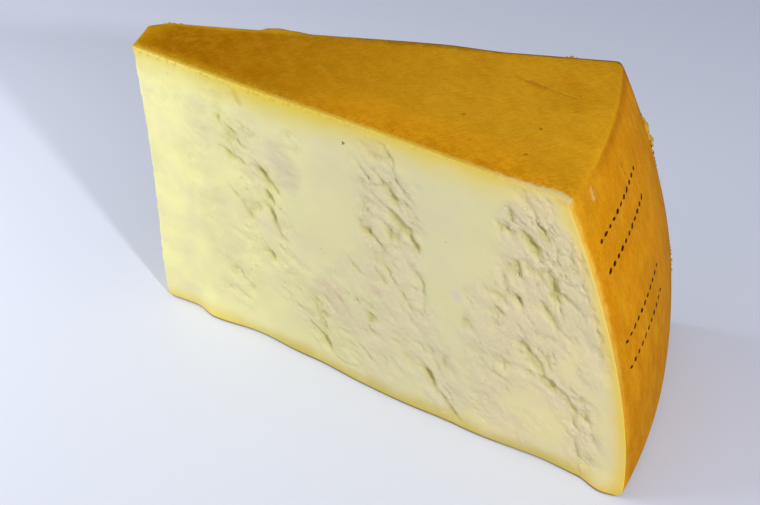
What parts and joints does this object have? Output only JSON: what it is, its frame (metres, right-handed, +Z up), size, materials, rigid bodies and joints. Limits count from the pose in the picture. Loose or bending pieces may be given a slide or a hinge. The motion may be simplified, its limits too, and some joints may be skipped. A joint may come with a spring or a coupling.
{
  "type": "parmesan chunk",
  "caption": "Thin upright wedge of hard cheese with a golden rind and pale, partly torn cuts, made as a moulded and painted display copy; it stands on its flat base.",
  "frame": {"origin": "under the middle of the chunk's box, on the flat face it stands on", "axes": "+X from the blunt tip to the side rind, +Y from the front cut to the back cut, +Z up"},
  "size_m": [0.18, 0.082, 0.1055],
  "materials": {
    "paste": "satin, ivory with a sprayed yellow margin along the rind, smooth where cut and crumbly where torn",
    "rind": "satin golden ochre with fine brush streaks, browner towards the tip",
    "ink": "matt, dark brown dots on the side rind"
  },
  "bodies": {
    "root": {"cheese_wedge": "paste"}
  },
  "joints": []
}
